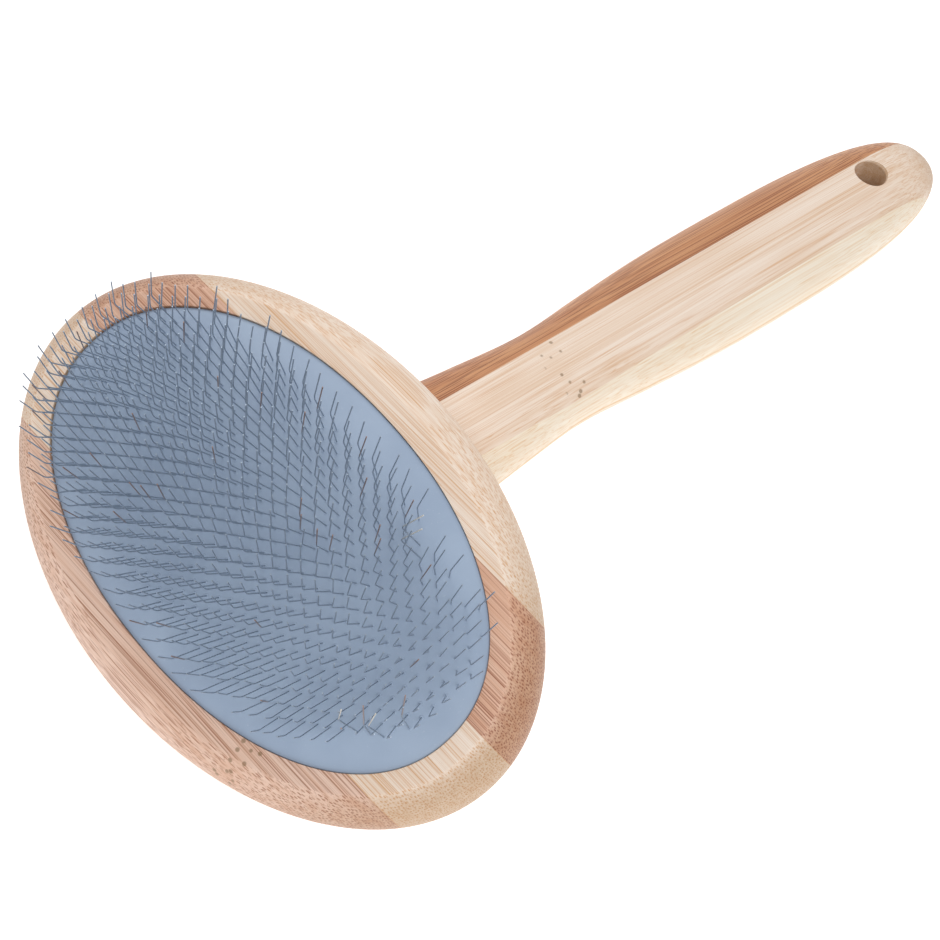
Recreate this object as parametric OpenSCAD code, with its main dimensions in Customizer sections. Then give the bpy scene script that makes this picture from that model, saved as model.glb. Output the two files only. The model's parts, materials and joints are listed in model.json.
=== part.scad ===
// Slicker brush: laminated bamboo head and handle with a cushioned pad of bent wire pins.
// Millimetres. The brush lies on its back on z = 0 with the pins up, touching the surface with
// the head's outer edge and the handle's tip. +Y runs from the head to the handle's tip, and
// the origin is below the middle of the overall box.
//
// Sub-parts are drawn in the head frame: origin in the middle of the pad opening, x across
// the brush, y towards the handle, z out through the pins. as_handle() places what is drawn
// in the handle frame, whose y runs along the handle and whose z leaves its upper face.
// at_rest() turns the head frame into the final one.

/* [Head] */
// Half length of the pad opening, across the brush
opening_x = 57.9; // [50:0.1:70]
// Half width of the pad opening, along the brush
opening_y = 33.6; // [28:0.1:40]
// Squareness of the opening, 2 for a true ellipse
opening_power = 2.11; // [2:0.01:2.4]
// Width of the flat rim around the opening
rim_flat = 4.5; // [4:0.1:8]
// Width of the rounding outside the rim
front_round = 6.1; // [3:0.1:7]
// Degrees into its quarter turn at which that rounding starts
edge_turn = 30; // [0:5:45]
// Depth of the head's widest line below the rim
widest_depth = 8.1; // [4:0.1:9]
// Squareness of the head's widest outline
outline_power = 2; // [2:0.01:2.4]
// Thickness of the head
head_t = 16; // [15:0.5:20]
// Width of the rounding on the back
back_round = 11.5; // [3:0.1:12]
// Depth of the recess for the cushion
recess_d = 11; // [10.5:0.5:12]
// Yaw of the head's glue lines in degrees
grain_yaw = 2; // [0:0.5:4]
// Places of the head's three glue lines, from the handle side to the far side
glue_y = [26.7, 3.4, -20.4];

/* [Handle] */
// Angle of the handle below the head's plane in degrees
handle_pitch = 30; // [20:1:35]
// Where the handle frame starts, behind the middle of the opening
handle_y = 41.4; // [40:0.1:43]
// Depth of the handle frame's start below the rim
handle_drop = 21.7; // [21:0.1:23]
// Length from the start of the handle frame to the tip
handle_len = 165.1; // [150:0.1:180]
// Half widths every station_step from the hidden end to where the tip begins to narrow
half_widths = [17.2, 16.8, 15.9, 13.9, 12.3, 13.7, 15, 15.4, 15.3];
// Distance between those half widths
station_step = 20; // [15:1:25]
// Sideways offset of the outline from the hanging hole
grip_shift = 0.3; // [0:0.1:1]
// Thickness at the head
root_t = 17.4; // [16:0.1:20]
// Thickness at the tip's rounding
tip_t = 18.9; // [16:0.1:20]
// Where the outline begins to narrow to the tip
narrow_from = 105; // [95:1:120]
// Where the thickness begins to narrow to the tip
thin_from = 132; // [125:1:140]
// Squareness of the cross-section
section_power = 2.1; // [2:0.05:2.6]
// Places of the handle's two glue lines across its width
glue_x = [-4.5, 10.4];
// Diameter of the hanging hole
hole_d = 8; // [6:0.5:9]
// Place of the hanging hole along the handle
hole_y = 141.7; // [138:0.1:146]

/* [Pad] */
// Gap between the pad and the wall of the recess
pad_gap = 0.4; // [0.3:0.05:1]
// Depth of the pad's edge below the rim
pad_sunk = 0.6; // [0.4:0.1:2.5]
// Height of the pad's crown above its edge
pad_crown = 7.2; // [5:0.1:10]
// Thickness of the rubber face
face_t = 1.2; // [1:0.1:1.5]
// Thickness of the fabric backing
backing_t = 1.4; // [1:0.1:1.6]
// Room for the staples' crowns above the foam
crown_room = 1; // [0.9:0.1:1.5]

/* [Pins] */
// Thickness of the wire
wire = 0.35; // [0.3:0.05:0.5]
// Distance between columns of pins, across the brush
column_pitch = 2.14; // [1.8:0.01:2.5]
// Distance between the pins of one column, along the brush
pin_pitch = 3.16; // [2.6:0.02:3.6]
// Half length and half width of the field of pins
field = [56, 25.6];
// Squareness of the field of pins
field_power = 2.4; // [2:0.1:3]
// Length of a pin from the rubber to its bend
lower_leg = 8.3; // [6:0.1:10]
// Length of a pin from its bend to its tip
upper_leg = 7.4; // [5:0.1:9]
// Slope of the lower leg, away from the handle
lower_slope = -0.235; // [-0.4:0.005:0]
// Slope of the upper leg, back towards the handle
upper_slope = 0.247; // [0:0.005:0.4]
// Slope added to a pin for each millimetre it stands along the brush
fan_y = 0.016; // [0:0.001:0.02]
// Slope added to a pin for each millimetre it stands across the brush
fan_x = 0.0042; // [0:0.0001:0.008]
// Slope added to it again for each square millimetre, so that one side fans out more
fan_xx = 0.00005; // [0:0.00001:0.0001]

/* [Joint screws] */
// Places of the two screws behind the middle of the opening
screw_y = [12.5, 21.5];
// Length of a screw
screw_len = 12; // [10:0.5:12]
// Diameter of the shank
screw_d = 3.5; // [3:0.1:4]
// Diameter of the countersunk head
screw_head_d = 7; // [6:0.1:8]

/* [Hidden] */

// Colours
light_bamboo = [0.84, 0.69, 0.48];
brown_bamboo = [0.62, 0.42, 0.25];
pink_bamboo = [0.72, 0.52, 0.37];
dark_bamboo = [0.36, 0.2, 0.13];
foam_grey = [0.75, 0.75, 0.73];
canvas = [0.8, 0.77, 0.7];
rubber_blue = [0.58, 0.66, 0.76];
wire_grey = [0.3, 0.33, 0.4];
steel = [0.7, 0.7, 0.7];

// Resolution of the lofted shapes
head_sides = 64;
round_steps = 5;
section_sides = 32;
section_step = 10;
pad_sides = 48;
pad_steps = 6;
beyond = 100;
hole_clearance = 0.05;

// Sizes of the head
head_x = opening_x + rim_flat + front_round;
head_y = opening_y + rim_flat + front_round;
back_depth = head_t - widest_depth;

// Half axes of the ellipse that the outer rounding follows
front_axes = [front_round / (1 - sin(edge_turn)), widest_depth / cos(edge_turn)];

// The handle's hidden end stands upright under the recess
first_station = -45;
butt_y = -1.5;
tip_from = 115;

// The field of pins: four columns to a node
columns_per_node = 4;
first_column = -26;
last_column = 24;
field_shift = [-2, 0.1];
// Columns from this one on stand one pin further from the far edge
stepped_from = 19;
crown_depth = face_t + backing_t + wire / 2;

// ---- Outlines and lofts ----

function signed_power(value, power) = sign(value) * pow(abs(value), power);

// Superellipse with half axes x and y
function oval(x, y, power, sides) = [
    for (i = [0 : sides - 1])
        let (turn = 360 * i / sides)
        [x * signed_power(cos(turn), 2 / power), y * signed_power(sin(turn), 2 / power)]
];

function level(outline, z) = [for (point = outline) [point[0], point[1], z]];

// Solid through rings of equal length, each turning the same way round, with flat ends
module loft(rings) {
    sides = len(rings[0]);
    last = len(rings) - 1;
    walls = [
        for (ring = [0 : last - 1], i = [0 : sides - 1])
            let (next = (i + 1) % sides, low = ring * sides, high = low + sides)
            [low + i, high + i, high + next, low + next]
    ];
    ends = [
        [for (i = [0 : sides - 1]) i],
        [for (i = [sides - 1 : -1 : 0]) last * sides + i]
    ];
    polyhedron([for (ring = rings, point = ring) point], concat(walls, ends), convexity = 6);
}

// ---- Handle profile, in the handle frame ----

function half_width_at(i) = half_widths[max(0, min(len(half_widths) - 1, i))];

// Smooth curve through the half widths
function grip_half_width(y) =
    let (
        place = (y - first_station) / station_step,
        i = floor(place),
        t = place - i,
        a = half_width_at(i - 1),
        b = half_width_at(i),
        c = half_width_at(i + 1),
        d = half_width_at(i + 2)
    )
    b + t / 2 * (c - a + t * (2 * a - 5 * b + 4 * c - d + t * (3 * (b - c) + d - a)));

// Share of the way from start to the tip
function to_tip(y, start) = max(0, (y - start) / (handle_len - start));

function half_width(y) =
    grip_half_width(min(y, narrow_from)) * pow(1 - pow(to_tip(y, narrow_from), 2.5), 1 / 2.6);

function full_t(y) = root_t + (tip_t - root_t) * max(0, min(1, y / thin_from));

function half_t(y) = full_t(y) / 2 * sqrt(1 - pow(to_tip(y, thin_from), 4));

function section(y) = [
    for (point = oval(half_width(y), half_t(y), section_power, section_sides))
        [point[0] + grip_shift, y, point[1] - full_t(y) / 2]
];

// Sections from the hidden end to the tip, where they come closer together
sections = concat(
    [for (y = [first_station : section_step : tip_from]) section(y)],
    [for (turn = [8 : 8 : 88]) section(tip_from + (handle_len - tip_from) * sin(turn))]
);

// ---- Rest position ----

// Head frame places of points in the middle plane of the handle frame
function handle_to_head(y, z) = [
    handle_y + y * cos(handle_pitch) + z * sin(handle_pitch),
    -handle_drop - y * sin(handle_pitch) + z * cos(handle_pitch)
];

function turned_y(place, tilt) = place[0] * cos(tilt) - place[1] * sin(tilt);
function turned_z(place, tilt) = place[0] * sin(tilt) + place[1] * cos(tilt);

// Lowest point of the head's rounded back edge and of the handle's underside
function head_low(tilt) =
    turned_z([back_round - head_y, -widest_depth], tilt)
    - norm([back_round * sin(tilt), back_depth * cos(tilt)]);
function handle_low(tilt) = min([
    for (y = [narrow_from : 1 : handle_len])
        turned_z(handle_to_head(y, -full_t(y) / 2 - half_t(y)), tilt)
]);

// Tilt at which both touch the surface, found by halving the bracket
function level_tilt(low, high, steps) =
    let (middle = (low + high) / 2)
    steps == 0 ? middle
    : handle_low(middle) < head_low(middle) ? level_tilt(middle, high, steps - 1)
    : level_tilt(low, middle, steps - 1);

rest_tilt = level_tilt(0, 45, 24);
rest_lift = -head_low(rest_tilt);
far_end =
    turned_y([front_axes[0] - head_y, -widest_depth], rest_tilt)
    - norm([front_axes[0] * cos(rest_tilt), front_axes[1] * sin(rest_tilt)]);
tip_end = turned_y(handle_to_head(handle_len, -tip_t / 2), rest_tilt);
rest_shift = -(far_end + tip_end) / 2;

module at_rest() {
    translate([0, rest_shift, rest_lift])
        rotate([rest_tilt, 0, 0])
            children();
}

module as_handle() {
    translate([0, handle_y, -handle_drop])
        rotate([-handle_pitch, 0, 0])
            children();
}

// ---- Head ----

// Outline of the head drawn in by inset at height z
function head_ring(inset, z) = level(
    oval(
        head_x - inset,
        head_y - inset,
        outline_power + (opening_power - outline_power) * min(1, inset / front_round),
        head_sides
    ),
    z
);

head_rings = concat(
    [
        for (i = [0 : round_steps])
            let (turn = 90 - 90 * i / round_steps)
            head_ring(back_round * (1 - cos(turn)), -widest_depth - back_depth * sin(turn))
    ],
    [
        for (i = [1 : round_steps])
            let (turn = (90 - edge_turn) * i / round_steps)
            head_ring(front_axes[0] * (1 - cos(turn)), front_axes[1] * sin(turn) - widest_depth)
    ]
);

// Part of the head between two glue lines
module head_strip(from_y, to_y) {
    at_rest()
        intersection() {
            difference() {
                loft(head_rings);
                translate([0, 0, -recess_d])
                    linear_extrude(recess_d + 1)
                        polygon(oval(opening_x, opening_y, opening_power, head_sides));
            }
            rotate([0, 0, grain_yaw])
                translate([-beyond, from_y, -head_t - 1])
                    cube([2 * beyond, to_y - from_y, head_t + 2]);
        }
}

module head_strip_rear() {
    color(light_bamboo)
        head_strip(glue_y[0], beyond);
}

module head_strip_dark() {
    color(brown_bamboo)
        difference() {
            head_strip(glue_y[1], glue_y[0]);
            screw_holes();
        }
}

module head_strip_middle() {
    color(light_bamboo)
        head_strip(glue_y[2], glue_y[1]);
}

module head_strip_front() {
    color(pink_bamboo)
        head_strip(-beyond, glue_y[2]);
}

// ---- Handle ----

// Part of the handle between two glue lines, cut flat to meet the head's back
module handle_strip(from_x, to_x) {
    at_rest()
        difference() {
            as_handle()
                intersection() {
                    loft(sections);
                    translate([from_x, first_station - 1, -2 * tip_t])
                        cube([to_x - from_x, handle_len - first_station + 2, 3 * tip_t]);
                }
            translate([-beyond, -beyond, -head_t])
                cube([2 * beyond, 2 * beyond, beyond]);
            translate([-beyond, butt_y - beyond, -beyond])
                cube([2 * beyond, beyond, beyond]);
        }
}

module handle_strip_dark() {
    color(dark_bamboo)
        handle_strip(-beyond, glue_x[0]);
}

module handle_strip_middle() {
    color(pink_bamboo)
        difference() {
            handle_strip(glue_x[0], glue_x[1]);
            screw_holes();
            at_rest()
                as_handle()
                    translate([0, hole_y, -1.5 * tip_t])
                        cylinder(d = hole_d, h = 2 * tip_t, $fn = 64);
        }
}

module handle_strip_pale() {
    color(light_bamboo)
        handle_strip(glue_x[1], beyond);
}

// ---- Joint screws ----

// A screw from the recess's floor down, or its hole with some clearance
module screw(clearance) {
    head_h = (screw_head_d - screw_d) / 2;
    point_h = screw_d / 2;
    half = screw_d / 2 + clearance;
    rotate_extrude($fn = 48)
        polygon([
            [0, 0],
            [screw_head_d / 2 + clearance, 0],
            [half, -head_h],
            [half, point_h - screw_len],
            [0, -screw_len - clearance]
        ]);
}

module place_screws() {
    at_rest()
        for (y = screw_y)
            translate([0, y, -recess_d])
                children();
}

module screw_holes() {
    place_screws()
        screw(hole_clearance);
}

module joint_screws() {
    color(steel)
        place_screws()
            screw(0);
}

// ---- Pad ----

// Height of the rubber's surface at a share of the way from the crown to the edge
function pad_z(share) = -pad_sunk + pad_crown * (1 - share * share);

// Ring of a surface depth below the rubber's, drawn in from the recess's wall by gap
function pad_ring(share, depth, gap) = level(
    oval((opening_x - gap) * share, (opening_y - gap) * share, opening_power, pad_sides),
    pad_z(share) - depth
);

// Domed sheet between two depths
module pad_sheet(top, bottom) {
    at_rest()
        loft(concat(
            [for (i = [1 : pad_steps]) pad_ring(i / pad_steps, bottom, pad_gap)],
            [for (i = [pad_steps : -1 : 1]) pad_ring(i / pad_steps, top, pad_gap)]
        ));
}

module pad_face() {
    color(rubber_blue)
        pad_sheet(0, face_t);
}

module pad_backing() {
    color(canvas)
        pad_sheet(face_t, face_t + backing_t);
}

module foam_cushion() {
    foam_gap = 2 * pad_gap;
    foam_top = face_t + backing_t + crown_room;
    floor_ring = level(
        oval(opening_x - foam_gap, opening_y - foam_gap, opening_power, pad_sides),
        -recess_d
    );
    color(foam_grey)
        at_rest()
            loft(concat(
                [floor_ring],
                [for (i = [pad_steps : -1 : 1]) pad_ring(i / pad_steps, foam_top, foam_gap)]
            ));
}

// ---- Pins ----

// Height of the rubber under a pin
function rubber_z(x, y) = pad_z(norm([x / opening_x, y / opening_y]));

// Point a length along a slope from a start, in the plane of a column
function along(start, slope, length) = start + [slope, 1] * length / norm([slope, 1]);

// Left or right edge of a wire along a path: half is positive or negative
function edge(path, half) = [
    for (i = [0 : len(path) - 1])
        let (
            before = i == 0 ? path[1] - path[0] : path[i] - path[i - 1],
            after = i == len(path) - 1 ? before : path[i + 1] - path[i],
            side_a = [-before[1], before[0]] / norm(before),
            side_b = [-after[1], after[0]] / norm(after)
        )
        path[i] + half * (side_a + side_b) / (1 + side_a * side_b)
];

// Bend and tip of the pin that leaves the rubber at y, at height z there
function pin_top(y, z) =
    let (bend = along([y, z], lower_slope + fan_y * y, lower_leg))
    [bend, along(bend, upper_slope + fan_y * y, upper_leg)];

// Where the same pin's leg meets the staple's crown
function pin_foot(y, z) = [y - (lower_slope + fan_y * y) * crown_depth, z - crown_depth];

// A staple of bent wire: two pins joined by a crown below the backing
module staple(x, y) {
    middle_z = rubber_z(x, y);
    near = y - pin_pitch / 2;
    far = y + pin_pitch / 2;
    near_z = rubber_z(x, near) - middle_z;
    far_z = rubber_z(x, far) - middle_z;
    near_top = pin_top(near, near_z);
    far_top = pin_top(far, far_z);
    path = [
        near_top[1], near_top[0], pin_foot(near, near_z),
        pin_foot(far, far_z), far_top[0], far_top[1]
    ];
    left = edge(path, wire / 2);
    right = edge(path, -wire / 2);
    translate([x, 0, middle_z])
        rotate([0, atan(fan_x * x + fan_xx * x * x), 0])
            rotate([90, 0, 90])
                linear_extrude(wire, center = true)
                    polygon(concat(left, [for (i = [len(right) - 1 : -1 : 0]) right[i]]));
}

// Staples in a column: the field's edge sets how many, and neighbours are staggered
module column(number) {
    x = number * column_pitch;
    stagger = number % 2 == 0 ? pin_pitch / 4 : -pin_pitch / 4;
    step = number < stepped_from ? 0 : pin_pitch;
    reach = abs((x - field_shift[0]) / field[0]);
    half_length = field[1] * pow(max(0, 1 - pow(reach, field_power)), 1 / field_power);
    count = max(1, floor(half_length / pin_pitch + 0.4));
    for (i = [0 : count - 1])
        staple(x, field_shift[1] + stagger + step + (2 * i - count + 1) * pin_pitch);
}

module pin_rows(group) {
    first = first_column + (group - 1) * columns_per_node;
    color(wire_grey)
        at_rest()
            for (number = [first : min(last_column, first + columns_per_node - 1)])
                column(number);
}

head_strip_rear();
head_strip_dark();
head_strip_middle();
head_strip_front();
handle_strip_dark();
handle_strip_middle();
handle_strip_pale();
joint_screws();
foam_cushion();
pad_backing();
pad_face();
pin_rows(1);  // pin_rows_01
pin_rows(2);  // pin_rows_02
pin_rows(3);  // pin_rows_03
pin_rows(4);  // pin_rows_04
pin_rows(5);  // pin_rows_05
pin_rows(6);  // pin_rows_06
pin_rows(7);  // pin_rows_07
pin_rows(8);  // pin_rows_08
pin_rows(9);  // pin_rows_09
pin_rows(10);  // pin_rows_10
pin_rows(11);  // pin_rows_11
pin_rows(12);  // pin_rows_12
pin_rows(13);  // pin_rows_13
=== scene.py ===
"""Looks of the slicker brush: bamboo boards, a domed rubber pad and bent wire pins.

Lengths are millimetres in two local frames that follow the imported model. The head frame has its
origin in the middle of the pad opening, x across the brush, y towards the handle and z out
through the pins. The handle frame's y runs along the handle and its z leaves the upper face.
"""
import json
import math
import random

import bmesh
import bpy
import numpy as np
from mathutils import Matrix, Vector


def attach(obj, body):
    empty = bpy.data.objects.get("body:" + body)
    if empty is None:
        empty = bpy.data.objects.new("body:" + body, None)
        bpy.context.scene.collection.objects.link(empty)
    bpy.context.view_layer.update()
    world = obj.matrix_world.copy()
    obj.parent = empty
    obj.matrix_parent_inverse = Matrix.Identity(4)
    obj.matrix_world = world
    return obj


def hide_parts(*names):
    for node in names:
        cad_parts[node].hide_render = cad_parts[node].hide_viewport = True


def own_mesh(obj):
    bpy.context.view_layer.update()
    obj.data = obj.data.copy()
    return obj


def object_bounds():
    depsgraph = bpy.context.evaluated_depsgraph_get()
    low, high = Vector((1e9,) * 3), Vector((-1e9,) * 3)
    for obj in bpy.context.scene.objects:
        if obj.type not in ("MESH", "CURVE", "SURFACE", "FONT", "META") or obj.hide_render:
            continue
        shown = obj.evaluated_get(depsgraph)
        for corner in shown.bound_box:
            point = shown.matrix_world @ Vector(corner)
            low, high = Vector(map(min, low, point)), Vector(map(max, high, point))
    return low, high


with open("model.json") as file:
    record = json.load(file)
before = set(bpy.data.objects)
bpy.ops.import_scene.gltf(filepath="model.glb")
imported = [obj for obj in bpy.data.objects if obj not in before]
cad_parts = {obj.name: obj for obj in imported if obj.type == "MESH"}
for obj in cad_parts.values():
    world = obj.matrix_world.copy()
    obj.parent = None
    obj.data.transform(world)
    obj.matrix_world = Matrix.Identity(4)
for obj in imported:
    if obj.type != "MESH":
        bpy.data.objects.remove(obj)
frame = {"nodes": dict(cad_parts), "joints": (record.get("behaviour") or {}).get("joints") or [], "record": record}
cad_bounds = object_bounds()

MM = 0.001
HEAD_BODY = "handle"
PAD_BODY = "pad"


# ---------------------------------------------------------------- frames

class Local:
    """A frame in millimetres: origin in metres and three unit axes."""

    def __init__(self, origin, x, y, z):
        self.origin = np.array(origin)
        self.axes = np.array([x, y, z])

    def place(self, points):
        """Points of this frame as metres in the model's frame."""
        return self.origin + np.asarray(points, float).reshape(-1, 3) @ self.axes * MM

    def direction(self, x, y, z):
        return Vector(np.array([x, y, z]) @ self.axes)

    def read(self, points):
        """Metres in the model's frame as points of this frame."""
        return (np.asarray(points, float).reshape(-1, 3) - self.origin) @ self.axes.T / MM


def node_points(node):
    return np.array([v.co for v in frame["nodes"][node].data.vertices], float)


ACROSS = Vector((1, 0, 0))
press = frame["joints"][0]
out = -Vector(press["axis"]).normalized()
along = out.cross(ACROSS)
rim_height = max((node_points("head_strip_" + s) @ np.array(out)).max()
                 for s in ("rear", "dark", "middle", "front"))
pad_along = node_points("pad_face") @ np.array(along)
head = Local(out * float(rim_height) + along * float((pad_along.min() + pad_along.max()) / 2),
             ACROSS, along, out)

hole = next(m for m in frame["record"]["mounts"] if m["name"] == "hanging_hole")
HOLE_Y = 141.7
HOLE_R = hole["dims"]["r_mm"]
grip_up = Vector(hole["axis"]).normalized()
grip_along = grip_up.cross(ACROSS)


# ---------------------------------------------------------------- sizes

OPENING = (57.9, 33.6)
OPENING_POWER = 2.11
OUTLINE_POWER = 2.0
RIM_FLAT = 4.5
FRONT_ROUND = 6.1
EDGE_TURN = math.radians(30)
WIDEST_DEPTH = 8.1
BACK_ROUND = 11.5
HEAD_T = 16.0
RECESS_D = 11.0
LIP = 0.2
GRAIN_YAW = math.radians(2)
GLUE_Y = (26.7, 3.4, -20.4)
OVERALL = RIM_FLAT + FRONT_ROUND

HANDLE_LEN = 165.1
HALF_WIDTHS = (17.2, 16.8, 15.9, 13.9, 12.3, 13.7, 15.0, 15.4, 15.3)
GRIP_SHIFT = 0.3
FIRST_STATION = -45
STATION_STEP = 20
ROOT_T = 17.4
TIP_T = 18.9
NARROW_FROM = 105
THIN_FROM = 132
SECTION_POWER = 2.1
BUTT_Y = -1.5
GLUE_X = (-4.5, 10.4)

PAD_GAP = 0.06
FOAM_GAP = 0.8
PAD_SUNK = 0.6
PAD_CROWN = 7.2
FACE_T = 1.2
BACKING_T = 1.4
CROWN_ROOM = 1.0

WIRE = 0.28
COLUMN_PITCH = 2.14
PIN_PITCH = 3.16
COLUMNS_PER_NODE = 4
FIRST_COLUMN = -26
LAST_COLUMN = 24
FIELD = (56.0, 25.6)
FIELD_POWER = 2.4
FIELD_SHIFT = (-2.0, 0.1)
STEPPED_FROM = 19
ASTRAY_FROM = 21
FLATTENED = (12, 13)
LOWER_LEG = 8.3
UPPER_LEG = 7.4
LOWER_SLOPE = -0.235
UPPER_SLOPE = 0.247
FAN_X = 0.0042
FAN_XX = 0.00005
FAN_Y = 0.016
KNEE = 0.9
SUNK = 0.9


def full_t(y):
    return ROOT_T + (TIP_T - ROOT_T) * min(1, max(0, y / THIN_FROM))


grip = Local(Vector(hole["pos_m"]) + (grip_up * full_t(HOLE_Y) / 2 - grip_along * HOLE_Y) * MM,
             ACROSS, grip_along, grip_up)


# ---------------------------------------------------------------- mesh helpers

def signed_power(value, power):
    return np.sign(value) * np.abs(value) ** power


def oval(half_x, half_y, power, sides):
    """Superellipse as an array of x, y."""
    turn = np.linspace(0, 2 * np.pi, sides, endpoint=False)
    return np.stack([half_x * signed_power(np.cos(turn), 2 / power),
                     half_y * signed_power(np.sin(turn), 2 / power)], axis=1)


def level(outline, z):
    return np.column_stack([outline, np.full(len(outline), z)])


def loft(rings):
    """A closed bmesh through rings of equal length, with flat ends."""
    bm = bmesh.new()
    made = [[bm.verts.new(p) for p in ring] for ring in rings]
    sides = len(made[0])
    for low, high in zip(made, made[1:]):
        for i in range(sides):
            j = (i + 1) % sides
            bm.faces.new((low[i], low[j], high[j], high[i]))
    bm.faces.new(list(reversed(made[0])))
    bm.faces.new(made[-1])
    bmesh.ops.recalc_face_normals(bm, faces=bm.faces)
    return bm


def cut(bm, point, normal):
    """Keeps what lies behind the plane and closes the cut."""
    everything = bm.verts[:] + bm.edges[:] + bm.faces[:]
    found = bmesh.ops.bisect_plane(bm, geom=everything, dist=1e-5, plane_co=point,
                                   plane_no=normal, clear_outer=True)
    edges = [e for e in found["geom_cut"] if isinstance(e, bmesh.types.BMEdge)]
    bmesh.ops.holes_fill(bm, edges=edges, sides=0)
    bmesh.ops.recalc_face_normals(bm, faces=bm.faces)


def finish_mesh(name, bm, local, material, body, nodes, sharp=35):
    """Puts a bmesh in a local frame's millimetres into the scene as a piece."""
    mesh = bpy.data.meshes.new(name)
    bm.to_mesh(mesh)
    bm.free()
    where = local.place([v.co for v in mesh.vertices])
    mesh.vertices.foreach_set("co", where.ravel())
    mesh.materials.append(material)
    mesh.shade_smooth()
    mesh.set_sharp_from_angle(angle=math.radians(sharp))
    mesh.update()
    piece = bpy.data.objects.new(name, mesh)
    bpy.context.scene.collection.objects.link(piece)
    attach(piece, body)
    if nodes:
        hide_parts(*nodes)
    return piece


def quarter(steps, start=0):
    """Angles of a quarter turn in steps, leaving out the first ones."""
    return [math.pi / 2 * i / steps for i in range(start, steps + 1)]


# ---------------------------------------------------------------- shader helpers

class Shader:
    """A material's node tree with short ways to add nodes."""

    def __init__(self, name, **constants):
        self.material = bpy.data.materials.new(name)
        self.material.use_nodes = True
        self.tree = self.material.node_tree
        self.tree.nodes.clear()
        self.output = self.tree.nodes.new("ShaderNodeOutputMaterial")
        self.surface = self.tree.nodes.new("ShaderNodeBsdfPrincipled")
        self.link(self.surface.outputs[0], self.output.inputs[0])
        for socket, value in constants.items():
            self.surface.inputs[socket.replace("_", " ")].default_value = value

    def link(self, source, target):
        self.tree.links.new(source, target)

    def feed(self, target, value):
        if isinstance(value, bpy.types.NodeSocket):
            self.link(value, target)
        else:
            target.default_value = value

    def node(self, kind, inputs=(), **settings):
        made = self.tree.nodes.new(kind)
        for key, value in settings.items():
            setattr(made, key, value)
        for key, value in dict(inputs).items():
            self.feed(made.inputs[key], value)
        return made

    def math(self, operation, a, b=0.0, c=0.0):
        made = self.node("ShaderNodeMath", {0: a, 1: b, 2: c}, operation=operation)
        return made.outputs[0]

    def ramp(self, value, low, high, to_low=0.0, to_high=1.0):
        made = self.node("ShaderNodeMapRange", {"Value": value, "From Min": low, "From Max": high,
                                                "To Min": to_low, "To Max": to_high},
                         interpolation_type="SMOOTHSTEP")
        return made.outputs[0]

    def mix(self, factor, a, b, blend="MIX"):
        made = self.tree.nodes.new("ShaderNodeMix")
        made.data_type = "RGBA"
        made.blend_type = blend
        for socket, value in zip((made.inputs[0], made.inputs[6], made.inputs[7]), (factor, a, b)):
            self.feed(socket, value)
        return made.outputs[2]

    def noise(self, vector, scale, detail=2.0, roughness=0.5, stretch=(1, 1, 1), shift=(0, 0, 0)):
        moved = self.node("ShaderNodeMapping", {"Vector": vector, "Scale": stretch, "Location": shift})
        made = self.node("ShaderNodeTexNoise", {"Vector": moved.outputs[0], "Scale": scale,
                                                "Detail": detail, "Roughness": roughness})
        return made.outputs[0]

    def place(self, local, turn=0.0):
        """Object coordinates as millimetres in a local frame, turned about its z."""
        spot = self.node("ShaderNodeTexCoord").outputs["Object"]
        turned = Matrix.Rotation(-turn, 3, "Z") @ Matrix(local.axes.tolist())
        shift = turned @ Vector(-local.origin) / MM
        moved = self.node("ShaderNodeMapping", {
            "Vector": spot, "Scale": (1 / MM,) * 3, "Location": shift,
            "Rotation": turned.to_euler("XYZ")})
        return moved.outputs[0]

    def end_grain(self, local, turn, along_y):
        """How squarely the surface crosses the grain, 0 to 1."""
        grain = Matrix.Rotation(turn + (math.pi / 2 if along_y else 0), 3, "Z") @ Vector((1, 0, 0))
        normal = self.node("ShaderNodeTexCoord").outputs["Normal"]
        facing = self.node("ShaderNodeVectorMath", {0: normal, 1: local.direction(*grain)},
                           operation="DOT_PRODUCT").outputs["Value"]
        return self.ramp(self.math("ABSOLUTE", facing), 0.1, 0.7)

    def bump(self, height, strength, distance):
        made = self.node("ShaderNodeBump", {"Height": height, "Strength": strength,
                                            "Distance": distance * MM})
        self.link(made.outputs[0], self.surface.inputs["Normal"])

    def set(self, socket, value):
        self.feed(self.surface.inputs[socket], value)


def srgb(r, g, b):
    """Colour picked in 8-bit sRGB as linear light."""
    def lin(v):
        v /= 255
        return v / 12.92 if v < 0.04045 else ((v + 0.055) / 1.055) ** 2.4
    return (lin(r), lin(g), lin(b), 1.0)


# ---------------------------------------------------------------- materials

def fibre_bundles(s, side, depth):
    """Fibre bundles seen as dots across the grain and streaks along it, 0 to 1."""
    flat = s.node("ShaderNodeCombineXYZ", {0: side, 1: depth})
    cells = s.node("ShaderNodeTexVoronoi", {"Vector": flat.outputs[0], "Scale": 2.0,
                                            "Randomness": 0.7}, voronoi_dimensions="2D")
    shade = s.node("ShaderNodeSeparateColor", {0: cells.outputs["Color"]}).outputs[0]
    dot = s.ramp(cells.outputs["Distance"], 0.36, 0.2)
    return s.math("MULTIPLY", dot, s.ramp(shade, 0.0, 1.0, 0.45, 1.0))


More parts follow.
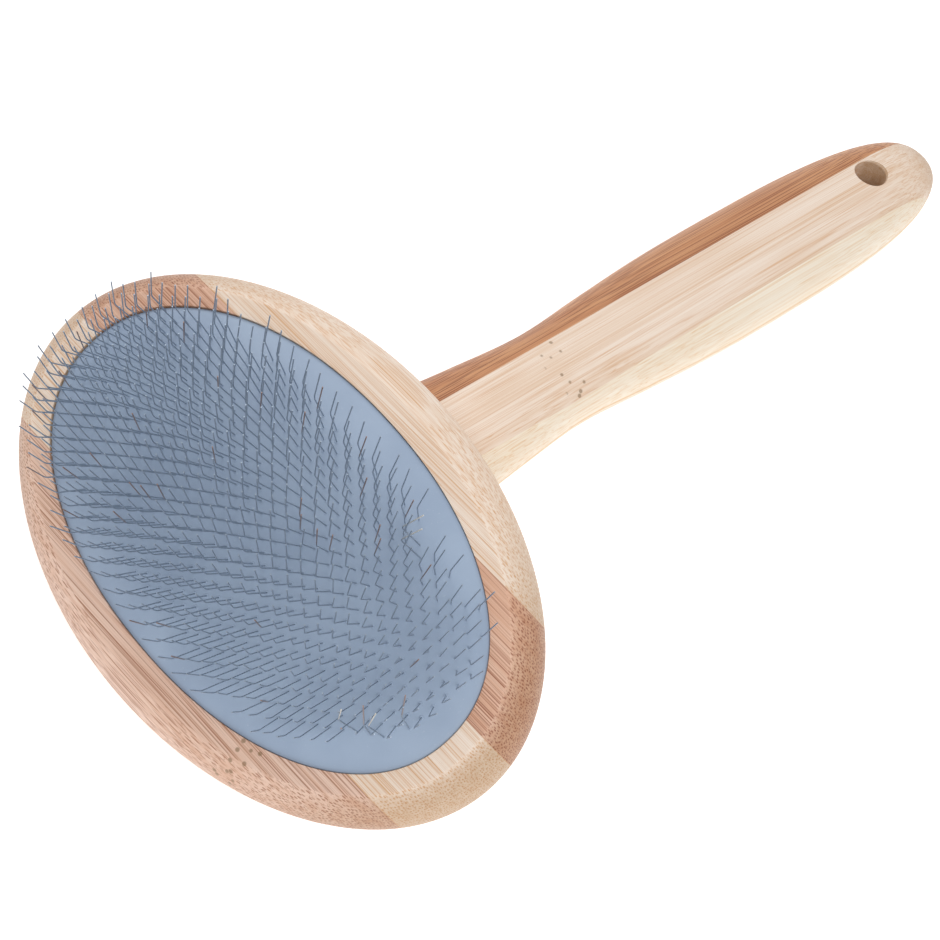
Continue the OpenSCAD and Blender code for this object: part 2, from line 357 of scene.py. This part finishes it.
def board_colour(s, spot, seed, tone, pale, deep, streak):
    """Broad stripes, slow change along the board and thin lines."""
    stripes = s.noise(spot, 1.0, 2.0, 0.55, stretch=(0.004, 0.9, 0.6), shift=(seed * 3, seed, 5))
    cloud = s.noise(spot, 1.0, 2.0, 0.5, stretch=(0.03, 0.08, 0.08), shift=(seed, 9, seed))
    lines = s.noise(spot, 1.0, 1.0, 0.5, stretch=(0.004, 2.2, 1.6), shift=(seed, seed * 5, 2))
    thin_line = s.ramp(s.math("ABSOLUTE", s.math("SUBTRACT", lines, 0.5)), 0.03, 0.0)
    share = s.math("ADD", s.math("MULTIPLY", s.ramp(stripes, 0.35, 0.68), tone),
                   s.math("MULTIPLY", s.ramp(cloud, 0.4, 0.7), tone * 0.5))
    colour = s.mix(share, pale, deep)
    return s.mix(s.math("MULTIPLY", thin_line, 0.55), colour, streak)


def culm_node(s, colour, spot, grain, place, deep):
    """A darker band with specks, where the culm had a node."""
    half_band = 4.5
    near = s.math("ABSOLUTE", s.math("SUBTRACT", grain, place + half_band))
    band = s.ramp(near, 4.0, 0.5)
    speck_at = s.node("ShaderNodeTexVoronoi", {"Vector": spot, "Scale": 0.42,
                                               "Randomness": 1.0}).outputs["Distance"]
    speck = s.math("MULTIPLY", s.ramp(speck_at, 0.26, 0.14), s.ramp(near, 3.6, 2.8))
    colour = s.mix(s.math("MULTIPLY", band, 0.3), colour, deep)
    return s.mix(s.math("MULTIPLY", speck, 0.65), colour, srgb(120, 90, 50))


def darker_line(s, colour, where, place, outer, inner, strength, streak):
    """A darker line at a place: glue between boards across the grain, and a line along the handle's side in the
    depth.
    """
    near = s.math("ABSOLUTE", s.math("SUBTRACT", where, place))
    return s.mix(s.ramp(near, outer, inner, 0.0, strength), colour, streak)


def bamboo(name, local, pale, deep, streak, along_y=False, turn=0.0, seed=0.0, dots=0.8,
           tone=0.5, bands=(), glue=(), side_line_depth=None):
    """Laminated bamboo. Fibre bundles run along the grain, so a face along it shows streaks and a
    face across it shows dots. bands are places of the culm's nodes along the grain, glue are
    the places of glue lines across it, and the last argument is the depth at which a darker line runs along the
    handle's side."""
    s = Shader(name, Coat_Weight=0.1, Coat_Roughness=0.4)
    spot = s.place(local, turn + (math.pi / 2 if along_y else 0))
    parts = s.node("ShaderNodeSeparateXYZ", {"Vector": spot}).outputs
    grain, side, depth = parts[0], parts[1], parts[2]

    # Bundles wander a little on their way
    sway = s.noise(spot, 1.0, 1.0, stretch=(0.012, 0.06, 0.06), shift=(seed, seed * 2, 0))
    sway_b = s.noise(spot, 1.0, 1.0, stretch=(0.016, 0.06, 0.06), shift=(seed + 40, 7, seed))
    dot = fibre_bundles(s, s.math("MULTIPLY_ADD", sway, 2.2, side),
                        s.math("MULTIPLY_ADD", sway_b, 1.6, depth))
    fibre = s.noise(spot, 1.0, 3.0, 0.6, stretch=(0.04, 6.0, 6.0), shift=(seed, 3, 1))

    colour = board_colour(s, spot, seed, tone, pale, deep, streak)
    colour = s.mix(s.math("MULTIPLY", dot, dots), colour, streak)
    colour = s.mix(s.ramp(fibre, 0.55, 0.3, 0.0, 0.25), colour, deep, "MULTIPLY")
    colour = s.mix(s.end_grain(local, turn, along_y), colour, srgb(218, 206, 190), "MULTIPLY")
    for place in bands:
        colour = culm_node(s, colour, spot, s.math("MULTIPLY_ADD", sway, 9.0, grain), place, deep)
    for place in glue:
        colour = darker_line(s, colour, side, place, 0.2, 0.03, 0.4, streak)
    # a darker line along the handle's side at about half its thickness
    if side_line_depth is not None:
        colour = darker_line(s, colour, depth, side_line_depth, 0.5, 0.1, 0.75, streak)

    s.set("Base Color", colour)
    s.set("Roughness", s.math("ADD", s.ramp(fibre, 0.2, 0.8, 0.4, 0.54),
                              s.math("MULTIPLY", dot, 0.12)))
    height = s.math("SUBTRACT", s.math("MULTIPLY", fibre, 0.6), s.math("MULTIPLY", dot, 0.35))
    s.bump(height, 0.3, 0.1)
    return s.material


def rubber():
    """Satin blue-grey rubber with a faint cloudiness, fine grain and dust."""
    s = Shader("pad rubber", Roughness=0.5, Specular_IOR_Level=0.45)
    spot = s.place(head)
    cloud = s.noise(spot, 0.06, 3.0)
    grain = s.noise(spot, 3.5, 3.0)
    dust = s.ramp(s.noise(spot, 1.6, 2.0, 0.7), 0.66, 0.74)
    colour = s.mix(s.ramp(cloud, 0.3, 0.7), srgb(147, 164, 187), srgb(156, 173, 195))
    colour = s.mix(s.math("MULTIPLY", dust, 0.25), colour, srgb(190, 200, 212))
    s.set("Base Color", colour)
    s.set("Roughness", s.ramp(grain, 0.3, 0.7, 0.44, 0.58))
    s.bump(grain, 0.15, 0.05)
    return s.material


def wire_steel():
    """Drawn steel wire: slate grey, browned here and there, with a painted highlight on the upper legs of some
    astray and bent-flat pins.
    """
    s = Shader("pin steel", Metallic=0.6)
    spot = s.place(head)
    drawn = s.noise(spot, 2.0, 2.0, stretch=(3, 3, 0.4))
    brown = s.node("ShaderNodeAttribute", attribute_name="brown").outputs["Fac"]
    pale = s.node("ShaderNodeAttribute", attribute_name="pale").outputs["Fac"]
    colour = s.mix(s.ramp(drawn, 0.3, 0.7), srgb(144, 157, 172), srgb(168, 180, 194))
    colour = s.mix(brown, colour, srgb(150, 108, 82))
    # painted highlight: near-white colour on the upper legs marked pale
    colour = s.mix(pale, colour, srgb(246, 240, 226))
    s.set("Base Color", colour)
    s.set("Roughness", s.ramp(drawn, 0.3, 0.7, 0.3, 0.5))
    s.bump(drawn, 0.2, 0.02)
    return s.material


def canvas():
    """Unbleached woven backing cloth."""
    s = Shader("backing canvas", Roughness=0.85, Sheen_Weight=0.3)
    spot = s.place(head)
    weft = s.node("ShaderNodeTexWave", {"Vector": spot, "Scale": 0.55, "Distortion": 0.6},
                  bands_direction="X").outputs["Fac"]
    warp = s.node("ShaderNodeTexWave", {"Vector": spot, "Scale": 0.55, "Distortion": 0.6},
                  bands_direction="Y").outputs["Fac"]
    weave = s.math("MULTIPLY", weft, warp)
    s.set("Base Color", s.mix(weave, srgb(176, 160, 132), srgb(222, 212, 190)))
    s.bump(weave, 0.6, 0.2)
    return s.material


def foam():
    """Open-cell foam."""
    s = Shader("foam", Roughness=0.95)
    spot = s.place(head)
    cell = s.node("ShaderNodeTexVoronoi", {"Vector": spot, "Scale": 1.4}).outputs["Distance"]
    s.set("Base Color", s.mix(s.ramp(cell, 0.1, 0.6), srgb(150, 148, 140), srgb(206, 204, 196)))
    s.bump(cell, 0.7, 0.4)
    return s.material


def screw_steel():
    """Zinc-plated steel with turning marks."""
    s = Shader("screw steel", Metallic=1.0)
    spot = s.place(head)
    marks = s.noise(spot, 1.0, 3.0, stretch=(1, 1, 9))
    s.set("Base Color", s.mix(marks, srgb(150, 152, 150), srgb(206, 208, 204)))
    s.set("Roughness", s.ramp(marks, 0.3, 0.7, 0.28, 0.46))
    s.bump(marks, 0.2, 0.03)
    return s.material


def floor_white():
    """Plain matt studio floor."""
    s = Shader("floor", Roughness=0.9, Emission_Strength=0.55, Emission_Color=(1, 1, 1, 1))
    spot = s.node("ShaderNodeTexCoord").outputs["Object"]
    s.set("Base Color", s.mix(s.noise(spot, 3.0), (0.8, 0.8, 0.8, 1), (0.84, 0.84, 0.84, 1)))
    return s.material


# ---------------------------------------------------------------- head

HEAD_SIDES = 192


def head_ring(outset, z):
    """Outline of the head at a distance outside the opening."""
    power = OPENING_POWER + (OUTLINE_POWER - OPENING_POWER) * outset / OVERALL
    return level(oval(OPENING[0] + outset, OPENING[1] + outset, power, HEAD_SIDES), z)


def front_ring(turn):
    """Ring of the rounding outside the rim, at an angle of the ellipse that it follows."""
    axis_out = FRONT_ROUND / (1 - math.sin(EDGE_TURN))
    axis_down = WIDEST_DEPTH / math.cos(EDGE_TURN)
    return head_ring(OVERALL - axis_out * (1 - math.sin(turn)),
                     axis_down * math.cos(turn) - WIDEST_DEPTH)


def head_solid():
    """The whole head with its recess, from the recess's floor round to the back."""
    rings = [head_ring(0, z) for z in (-RECESS_D, -RECESS_D / 2, -LIP)]
    rings += [head_ring(LIP * (1 - math.cos(a)), -LIP * (1 - math.sin(a))) for a in quarter(4, 1)]
    rings += [head_ring(e, 0) for e in (RIM_FLAT * 0.4, RIM_FLAT * 0.8, RIM_FLAT - 0.25)]
    rings += [front_ring(EDGE_TURN + (math.pi / 2 - EDGE_TURN) * i / 12) for i in range(13)]
    back = HEAD_T - WIDEST_DEPTH
    rings += [head_ring(OVERALL - BACK_ROUND * (1 - math.cos(a)), -WIDEST_DEPTH - back * math.sin(a))
              for a in quarter(12, 1)]
    rings.append(head_ring(OVERALL - BACK_ROUND - 4, -HEAD_T))
    return loft(rings)


def glue_plane(y):
    normal = Vector((-math.sin(GRAIN_YAW), math.cos(GRAIN_YAW), 0))
    return normal * y, normal


def head_board(name, node, low_y, high_y, material):
    bm = head_solid()
    if high_y is not None:
        point, normal = glue_plane(high_y)
        cut(bm, point, normal)
    if low_y is not None:
        point, normal = glue_plane(low_y)
        cut(bm, point, -normal)
    return finish_mesh(name, bm, head, material, HEAD_BODY, [node])


# ---------------------------------------------------------------- handle

SECTION_SIDES = 96


def station(i):
    return HALF_WIDTHS[max(0, min(len(HALF_WIDTHS) - 1, i))]


def grip_half_width(y):
    """Smooth curve through the half widths."""
    place = (y - FIRST_STATION) / STATION_STEP
    i = math.floor(place)
    t = place - i
    a, b, c, d = (station(i + k) for k in (-1, 0, 1, 2))
    return b + t / 2 * (c - a + t * (2 * a - 5 * b + 4 * c - d + t * (3 * (b - c) + d - a)))


def to_tip(y, start):
    return max(0, (y - start) / (HANDLE_LEN - start))


def half_width(y):
    return grip_half_width(min(y, NARROW_FROM)) * (1 - to_tip(y, NARROW_FROM) ** 2.5) ** (1 / 2.6)


def half_t(y):
    return full_t(y) / 2 * math.sqrt(1 - to_tip(y, THIN_FROM) ** 4)


def section(y):
    outline = oval(half_width(y), half_t(y), SECTION_POWER, SECTION_SIDES)
    return np.column_stack([outline[:, 0] + GRIP_SHIFT, np.full(SECTION_SIDES, y),
                            outline[:, 1] - full_t(y) / 2])


def handle_solid():
    """The handle from its hidden end to its tip, cut to meet the head's back."""
    tip_from, step = 115, 3
    last_angle, angle_step = 88.6, 2.95
    places = list(np.arange(FIRST_STATION, tip_from, step))
    places += [tip_from + (HANDLE_LEN - tip_from) * math.sin(math.radians(a))
               for a in np.arange(0, last_angle, angle_step)]
    bm = loft([section(y) for y in places])
    back = grip.read(head.place([(0, 0, -HEAD_T)]))[0]
    butt = grip.read(head.place([(0, BUTT_Y, 0)]))[0]
    up = grip.axes @ np.array(head.direction(0, 0, 1))
    near = grip.axes @ np.array(head.direction(0, -1, 0))
    cut(bm, back, up)
    cut(bm, butt, near)
    return bm


def drill(piece):
    """The hanging hole, with its edges broken."""
    broken, past, sides = 0.5, 3, 96
    reach = full_t(HOLE_Y) / 2
    straight = reach - broken * 1.4
    half = [(HOLE_R + broken + past, reach + past), (HOLE_R + broken, reach), (HOLE_R, straight)]
    outline = half + [(r, -z) for r, z in reversed(half)]
    turn = np.linspace(0, 2 * np.pi, sides, endpoint=False)
    rings = [np.column_stack([r * np.cos(turn), HOLE_Y + r * np.sin(turn),
                              np.full(sides, z - reach)]) for r, z in outline]
    bm = loft(rings)
    mesh = bpy.data.meshes.new("drill")
    bm.to_mesh(mesh)
    bm.free()
    mesh.vertices.foreach_set("co", grip.place([v.co for v in mesh.vertices]).ravel())
    tool = bpy.data.objects.new("drill", mesh)
    bpy.context.scene.collection.objects.link(tool)
    carve(piece, tool)


def carve(piece, tool):
    """Takes a tool's shape out of a piece for good."""
    modifier = piece.modifiers.new("carve", "BOOLEAN")
    modifier.operation = "DIFFERENCE"
    modifier.solver = "EXACT"
    modifier.object = tool
    bpy.context.view_layer.update()
    shape = bpy.data.meshes.new_from_object(piece.evaluated_get(
        bpy.context.evaluated_depsgraph_get()))
    piece.modifiers.clear()
    old = piece.data
    piece.data = shape
    shape.name = old.name
    bpy.data.meshes.remove(old)
    bpy.data.objects.remove(tool)
    shape.shade_smooth()
    shape.set_sharp_from_angle(angle=math.radians(35))


def handle_board(name, node, low_x, high_x, material):
    bm = handle_solid()
    if high_x is not None:
        cut(bm, (high_x, 0, 0), (1, 0, 0))
    if low_x is not None:
        cut(bm, (low_x, 0, 0), (-1, 0, 0))
    return finish_mesh(name, bm, grip, material, HEAD_BODY, [node])


# ---------------------------------------------------------------- pad

def pad_z(share):
    return -PAD_SUNK + PAD_CROWN * (1 - share * share)


def pad_sheet(name, node, top, bottom, material, roll=0.0):
    """A domed sheet between two depths, its edge rolled over."""
    sides, steps = 192, 48
    half_x, half_y = OPENING[0] - PAD_GAP, OPENING[1] - PAD_GAP

    def ring(share, z, inset=0.0):
        return level(oval((half_x - inset) * share, (half_y - inset) * share, OPENING_POWER, sides), z)

    rings = [ring(i / steps, pad_z(i / steps) - bottom) for i in range(1, steps)]
    thick = bottom - top
    for a in [math.pi * k / 8 for k in range(9)]:
        rings.append(ring(1, -PAD_SUNK - top - thick / 2 * (1 - math.cos(math.pi - a)),
                          roll * (1 - math.sin(a))))
    rings += [ring(i / steps, pad_z(i / steps) - top) for i in range(steps - 1, 0, -1)]
    return finish_mesh(name, loft(rings), head, material, PAD_BODY, [node], sharp=60)


def foam_block(material):
    """The cushion's foam, from the recess's floor up to the staples' crowns."""
    sides, steps = 128, 24
    half_x, half_y = OPENING[0] - FOAM_GAP, OPENING[1] - FOAM_GAP
    top = FACE_T + BACKING_T + CROWN_ROOM
    rings = [level(oval(half_x, half_y, OPENING_POWER, sides), z)
             for z in (-RECESS_D, -RECESS_D + 2, pad_z(1) - top - 0.6)]
    drawn_in, bulge = 0.995, 0.075
    for i in range(steps, 0, -1):
        share = i / steps * drawn_in
        rings.append(level(oval(half_x * share, half_y * share, OPENING_POWER, sides),
                           pad_z(share) - top + bulge * math.sin(math.pi * share)))
    piece = finish_mesh("foam_cushion_soft", loft(rings), head, material, HEAD_BODY,
                        ["foam_cushion"], sharp=50)
    tuple(head.place([(0, 0, -RECESS_D)])[0])
    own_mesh(piece)
    return piece


# ---------------------------------------------------------------- pins

def tube(bm, path, radius, sides, layers, marks):
    """Adds a round wire along a path to a bmesh, its ends closed, and marks its vertices."""
    path = [Vector(p) for p in path]
    side = Vector((1, 0, 0))
    rings = []
    for i, point in enumerate(path):
        before = point - path[i - 1] if i else path[1] - point
        after = path[i + 1] - point if i < len(path) - 1 else before
        heading = (before.normalized() + after.normalized()).normalized()
        side = (side - heading * side.dot(heading)).normalized()
        other = heading.cross(side)
        ring = []
        for k in range(sides):
            turn = 2 * math.pi * k / sides
            v = bm.verts.new(point + radius * (math.cos(turn) * side + math.sin(turn) * other))
            ring.append(v)
        rings.append(ring)
    for low, high in zip(rings, rings[1:]):
        for k in range(sides):
            j = (k + 1) % sides
            bm.faces.new((low[k], low[j], high[j], high[k]))
    bm.faces.new(list(reversed(rings[0])))
    bm.faces.new(rings[-1])
    for i, ring in enumerate(rings):
        for v in ring:
            for layer, values in zip(layers, marks):
                v[layer] = values[i]


def pin_places():
    """Column, place and position in its column, from both ends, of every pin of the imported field."""
    for number in range(FIRST_COLUMN, LAST_COLUMN + 1):
        x = number * COLUMN_PITCH
        stagger = PIN_PITCH / 4 if number % 2 == 0 else -PIN_PITCH / 4
        step = 0 if number < STEPPED_FROM else PIN_PITCH
        reach = abs((x - FIELD_SHIFT[0]) / FIELD[0])
        half_length = FIELD[1] * max(0, 1 - reach ** FIELD_POWER) ** (1 / FIELD_POWER)
        count = max(1, math.floor(half_length / PIN_PITCH + 0.4))
        for i in range(2 * count):
            y = FIELD_SHIFT[1] + stagger + step + (i - count + 0.5) * PIN_PITCH
            yield number, x, y, i, 2 * count - 1 - i


def rubber_z(x, y):
    return pad_z(math.hypot(x / OPENING[0], y / OPENING[1]))


def temper(number, from_far, from_near, rng):
    """A pin's lean beyond the field's law, then how brown its upper leg is and how much painted highlight it gets.
    """
    if number >= ASTRAY_FROM and from_far == 0:
        lean = [rng.gauss(-0.4, 0.1), rng.uniform(0.3, 0.5), rng.gauss(-0.4, 0.15),
                rng.uniform(0.25, 0.4)]
        # astray pins: even columns browned, odd columns given a painted highlight
        return lean, 0.7 * (number % 2 == 0), 0.95 * (number % 2)
    if number in FLATTENED and from_near == 0:
        # flattened pins at the near end get a painted highlight on the upper leg
        return [rng.gauss(-0.6, 0.1), -0.15, 0.45, 0.3], 0.0, 0.9
    return [rng.gauss(0, 0.02) for _ in range(4)], 0.75 * (rng.random() < 0.04), 0.0


def pin_path(x, y, lean, rng):
    """A pin's bent path from below the rubber to its tip."""
    across = FAN_X * x + FAN_XX * x * x
    low = Vector((across + lean[0], LOWER_SLOPE + FAN_Y * y + lean[1], 1)).normalized()
    high = Vector((across + lean[2], UPPER_SLOPE + FAN_Y * y + lean[3], 1)).normalized()
    foot = Vector((x, y, rubber_z(x, y)))
    bend = foot + low * (LOWER_LEG + rng.gauss(0, 0.12))
    tip = bend + high * (UPPER_LEG + rng.gauss(0, 0.15))
    start, end = bend - low * KNEE, bend + high * KNEE
    curve = [start * (1 - t) ** 2 + bend * 2 * t * (1 - t) + end * t * t for t in (0, 0.25, 0.5, 0.75, 1)]
    return [foot - low * SUNK, foot, *curve, tip]


def pins(material):
    rng = random.Random(7)
    groups = {}
    for place in pin_places():
        group = (place[0] - FIRST_COLUMN) // COLUMNS_PER_NODE + 1
        groups.setdefault(group, []).append(place)
    for group, places in sorted(groups.items()):
        bm = bmesh.new()
        layers = [bm.verts.layers.float.new("brown"), bm.verts.layers.float.new("pale")]
        for number, x, y, from_far, from_near in places:
            lean, brown, pale = temper(number, from_far, from_near, rng)
            path = pin_path(x, y, lean, rng)
            upper = [max(0, (i - len(path) + 3) / 2) for i in range(len(path))]
            # the pale share is a painted highlight, fading in towards the tip
            marks = [[brown * share for share in upper], [pale * share for share in upper]]
            tube(bm, path, WIRE / 2, 8, layers, marks)
        node = f"pin_rows_{group:02d}"
        finish_mesh(f"wire_pins_{group:02d}", bm, head, material, PAD_BODY, [node], 50)


COLLAR_SIDES = 12
COLLAR = ((0.62, -0.12), (0.5, 0.03), (0.36, 0.1), (0.22, 0.08))


def collar(bm, foot, up):
    """A low ring of rubber around a pin, from the radii and heights of COLLAR."""
    side = Vector((1, 0, 0))
    side = (side - up * side.dot(up)).normalized()
    other = up.cross(side)
    turns = [2 * math.pi * k / COLLAR_SIDES for k in range(COLLAR_SIDES)]
    rings = [[bm.verts.new(foot + up * height + radius * (math.cos(t) * side + math.sin(t) * other))
              for t in turns] for radius, height in COLLAR]
    for low, high in zip(rings, rings[1:]):
        for k in range(COLLAR_SIDES):
            j = (k + 1) % COLLAR_SIDES
            bm.faces.new((low[k], low[j], high[j], high[k]))
    bm.faces.new(list(reversed(rings[0])))
    bm.faces.new(rings[-1])


def pin_collars(material):
    """The small raised lips that the pins push up in the rubber."""
    bm = bmesh.new()
    for _, x, y, _, _ in pin_places():
        up = Vector((2 * PAD_CROWN * x / OPENING[0] ** 2, 2 * PAD_CROWN * y / OPENING[1] ** 2, 1))
        collar(bm, Vector((x, y, rubber_z(x, y))), up.normalized())
    return finish_mesh("pin_collars", bm, head, material, PAD_BODY, [], 80)


# ---------------------------------------------------------------- stage

def area_light(name, place, aim, size, power):
    data = bpy.data.lights.new(name, "AREA")
    data.shape = "DISK"
    data.size = size
    data.energy = power
    light = bpy.data.objects.new(name, data)
    light.location = place
    light.rotation_euler = (Vector(aim) - Vector(place)).to_track_quat("-Z", "Y").to_euler()
    bpy.context.scene.collection.objects.link(light)


def studio():
    low, high = cad_bounds
    middle = (low + high) / 2
    bm = bmesh.new()
    bmesh.ops.create_grid(bm, x_segments=8, y_segments=8, size=3)
    mesh = bpy.data.meshes.new("floor")
    bm.to_mesh(mesh)
    bm.free()
    mesh.materials.append(floor_white())
    floor = bpy.data.objects.new("floor", mesh)
    floor.location = (middle.x, middle.y, low.z)
    bpy.context.scene.collection.objects.link(floor)

    world = bpy.data.worlds.new("studio")
    world.use_nodes = True
    world.node_tree.nodes["Background"].inputs[0].default_value = (1, 1, 1, 1)
    world.node_tree.nodes["Background"].inputs[1].default_value = 0.54
    bpy.context.scene.world = world
    area_light("key", (0.6, -0.4, 0.8), middle, 0.6, 4.2)
    area_light("fill", (-0.6, 0.2, 0.8), middle, 0.8, 3.6)
    bpy.context.scene.view_settings.view_transform = "Standard"


def camera():
    """The viewpoint, in the head frame: over the head, looking down its pins."""
    stand = Vector((166.43, 20.29, 410.97))
    aim = Vector((20.19, 38.8, 0))
    roll = math.radians(47.78)
    ahead = (aim - stand).normalized()
    right = ahead.cross(Vector((0, 1, 0))).normalized()
    up = right.cross(ahead)
    right, up = (math.cos(roll) * right + math.sin(roll) * up,
                 math.cos(roll) * up - math.sin(roll) * right)
    turned = Matrix([head.direction(*v) for v in (right, up, -ahead)]).transposed()
    data = bpy.data.cameras.new("camera")
    data.sensor_width = 36
    data.lens = 36 * 2200 / 940
    made = bpy.data.objects.new("camera", data)
    made.matrix_world = turned.to_4x4()
    made.location = head.place([stand])[0]
    bpy.context.scene.collection.objects.link(made)
    bpy.context.scene.camera = made


# ---------------------------------------------------------------- assembly

camera()

LIGHT = dict(pale=srgb(238, 222, 207), deep=srgb(226, 200, 176), streak=srgb(206, 150, 90))
PALE = dict(pale=srgb(241, 230, 213), deep=srgb(233, 213, 186), streak=srgb(220, 174, 116))
BROWN = dict(pale=srgb(226, 188, 164), deep=srgb(208, 158, 128), streak=srgb(150, 88, 58))
PINK = dict(pale=srgb(232, 202, 184), deep=srgb(214, 172, 146), streak=srgb(156, 100, 68))
DARK = dict(pale=srgb(206, 150, 104), deep=srgb(184, 120, 74), streak=srgb(124, 62, 32))

head_board("head_board_rear", "head_strip_rear", GLUE_Y[0], None,
           bamboo("bamboo head rear", head, turn=GRAIN_YAW, seed=1.0, dots=0.6, tone=0.5,
                  glue=GLUE_Y[:1], **LIGHT))
head_board("head_board_dark", "head_strip_dark", GLUE_Y[1], GLUE_Y[0],
           bamboo("bamboo head dark", head, turn=GRAIN_YAW, seed=5.0, dots=0.85, tone=0.6,
                  glue=GLUE_Y[:2], **BROWN))
head_board("head_board_middle", "head_strip_middle", GLUE_Y[2], GLUE_Y[1],
           bamboo("bamboo head middle", head, turn=GRAIN_YAW, seed=9.0, dots=0.7, tone=0.5,
                  glue=GLUE_Y[1:], **LIGHT))
head_board("head_board_front", "head_strip_front", None, GLUE_Y[2],
           bamboo("bamboo head front", head, turn=GRAIN_YAW, seed=14.0, dots=0.8, tone=0.6,
                  bands=(31.0,), glue=GLUE_Y[2:], **PINK))

handle_board("handle_board_dark", "handle_strip_dark", None, GLUE_X[0],
             bamboo("bamboo handle dark", grip, along_y=True, seed=21.0, dots=0.75, tone=0.6, **DARK))
middle = handle_board("handle_board_middle", "handle_strip_middle",
                      GLUE_X[0], GLUE_X[1],
                      bamboo("bamboo handle middle", grip, along_y=True, seed=27.0, dots=0.35,
                             tone=0.7, bands=(34.0,), **LIGHT))
drill(middle)
handle_board("handle_board_pale", "handle_strip_pale", GLUE_X[1], None,
             bamboo("bamboo handle pale", grip, along_y=True, seed=33.0, dots=0.3, tone=0.4,
                    side_line_depth=-9.2, **PALE))

pad_rubber = rubber()
face = pad_sheet("rubber_pad", "pad_face", 0, FACE_T, pad_rubber, roll=0.15)
pad_sheet("canvas_backing", "pad_backing", FACE_T, FACE_T + BACKING_T, canvas(), 0.3)
foam_block(foam())
pins(wire_steel())
pin_collars(pad_rubber)

frame["nodes"]["joint_screws"].data.materials.clear()
frame["nodes"]["joint_screws"].data.materials.append(screw_steel())

studio()
